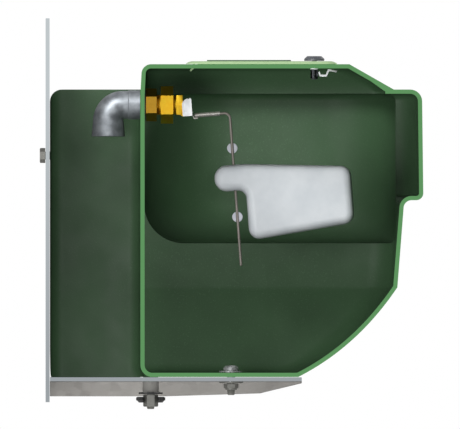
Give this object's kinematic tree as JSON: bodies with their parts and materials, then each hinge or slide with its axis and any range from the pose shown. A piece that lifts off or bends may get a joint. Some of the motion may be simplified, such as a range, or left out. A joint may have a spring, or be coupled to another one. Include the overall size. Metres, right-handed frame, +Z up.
{
  "type": "livestock drinking bowl",
  "caption": "Wall-hung livestock drinking bowl with side basins, a central hood with a latched hatch, a float valve and a drain plug on a galvanised bracket.",
  "frame": {"origin": "rear face of the wall plate, on the mid-plane, level with the top of the shelf", "axes": "+Z up, +X from the wall to the front, +Y along the bowl's length"},
  "size_m": [0.3835, 0.57, 0.3908],
  "materials": {
    "green_polyethylene": "roto-moulded polyethylene, satin",
    "light_green_polyethylene": "moulded polyethylene, satin",
    "galvanised_steel": "hot-dip galvanised sheet with spangle",
    "galvanised_iron": "galvanised malleable iron",
    "bright_steel": "stainless steel",
    "brass": "machined brass",
    "black_rubber": "rubber",
    "white_plastic": "white acetal",
    "float_plastic": "grey-white blow-moulded plastic",
    "dark_nylon": "dark nylon"
  },
  "bodies": {
    "bowl": {"tub_shell": "green_polyethylene", "back_plate": "galvanised_steel", "shelf_plate": "galvanised_steel", "rear_bolt_left": "bright_steel", "rear_bolt_right": "bright_steel", "rear_washer_left": "bright_steel", "rear_washer_right": "bright_steel", "rear_nut_left": "bright_steel", "rear_nut_right": "bright_steel", "floor_bolt": "bright_steel", "floor_washer_inner": "bright_steel", "floor_washer_outer": "bright_steel", "floor_nut": "bright_steel", "supply_elbow": "galvanised_iron", "inlet_gasket": "black_rubber", "backnut": "brass", "valve_body": "brass", "pivot_pin": "bright_steel"},
    "lever": {"clapper": "white_plastic", "clapper_seal": "black_rubber", "lever_strap": "bright_steel", "lever_sleeve": "bright_steel", "float_rod": "bright_steel", "stop_upper": "white_plastic", "stop_lower": "white_plastic"},
    "float_body": {"float": "float_plastic"},
    "lid": {"hatch_lid": "light_green_polyethylene"},
    "latch": {"latch_bolt": "dark_nylon", "latch_collar": "white_plastic", "latch_nut": "dark_nylon", "latch_tongue": "bright_steel"},
    "drain_plug": {"drain_washer": "black_rubber", "drain_nut": "bright_steel", "drain_knob": "dark_nylon", "drain_stud": "bright_steel"}
  },
  "joints": [
    {"name": "valve_lever", "type": "hinge", "parent": "bowl", "child": "lever", "pos_m": [0.1399, 0, 0.2637], "axis": [0, 1, 0], "range_deg": [0, 25]},
    {"name": "float_height", "type": "slide", "parent": "lever", "child": "float_body", "axis": [0.0745, 0, -0.9972], "range_m": [-0.0115, 0.021]},
    {"name": "hatch_hinge", "type": "hinge", "parent": "bowl", "child": "lid", "pos_m": [0.1404, 0, 0.3134], "axis": [0, -1, 0], "range_deg": [0, 75]},
    {"name": "latch_turn", "type": "hinge", "parent": "lid", "child": "latch", "pos_m": [0.2687, 0, 0.3164], "axis": [0, 0, 1], "range_deg": [0, 90]},
    {"name": "drain_unscrew", "type": "slide", "parent": "bowl", "child": "drain_plug", "axis": [0, 0, -1], "range_m": [0, 0.016]}
  ]
}
